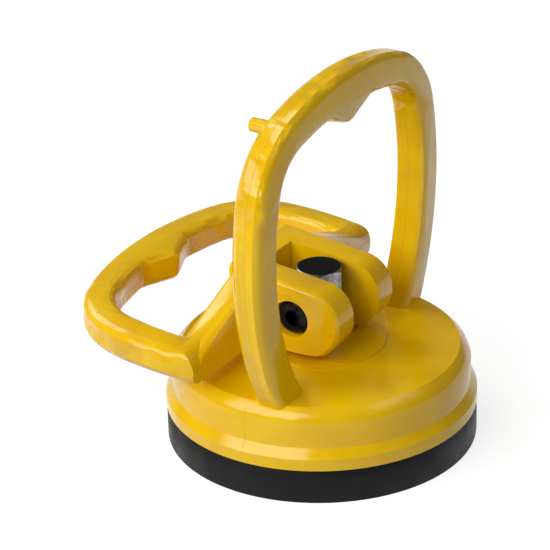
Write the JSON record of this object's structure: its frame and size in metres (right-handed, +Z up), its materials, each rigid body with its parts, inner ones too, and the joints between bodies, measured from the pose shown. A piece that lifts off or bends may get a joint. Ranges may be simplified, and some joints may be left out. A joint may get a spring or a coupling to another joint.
{
  "type": "suction cup lifter",
  "caption": "Hand lifter for glass: a rubber suction pad under a round housing with a fixed loop handle, and a hinged cam lever with a matching loop.",
  "frame": {"origin": "centre of the pad's flat underside, on the surface that it grips", "axes": "+Z up out of the pad along the pull rod; the hinge screw lies along Y, with its head at -Y; the lever points to -X when released"},
  "size_m": [0.1466, 0.1354, 0.1512],
  "materials": {
    "yellow_plastic": "glossy injection-moulded plastic",
    "black_rubber": "smooth matt rubber",
    "zinc_steel": "bright zinc plating",
    "black_steel": "black oxide",
    "white_nylon": "plain nylon"
  },
  "bodies": {
    "base": {"base_housing": "yellow_plastic", "rubber_pad": "black_rubber"},
    "pull_rod": {"insert_plate": "zinc_steel", "insert_stud": "zinc_steel", "hex_pillar": "zinc_steel"},
    "lever": {"cam_lever": "yellow_plastic", "pivot_screw": "black_steel", "lock_nut": "zinc_steel", "lock_nut_ring": "white_nylon"}
  },
  "joints": [
    {"name": "pad_lift", "type": "slide", "parent": "base", "child": "pull_rod", "axis": [0, 0, 1], "range_m": [0, 0.0049], "deforming": ["rubber_pad"]},
    {"name": "lever_hinge", "type": "hinge", "parent": "pull_rod", "child": "lever", "pos_m": [0, 0, 0.0558], "axis": [0, 1, 0], "range_deg": [0, 82.5]}
  ],
  "couplings": [
    {"joint": "pad_lift", "follows": "lever_hinge", "m_per_rad": 0.0034}
  ]
}
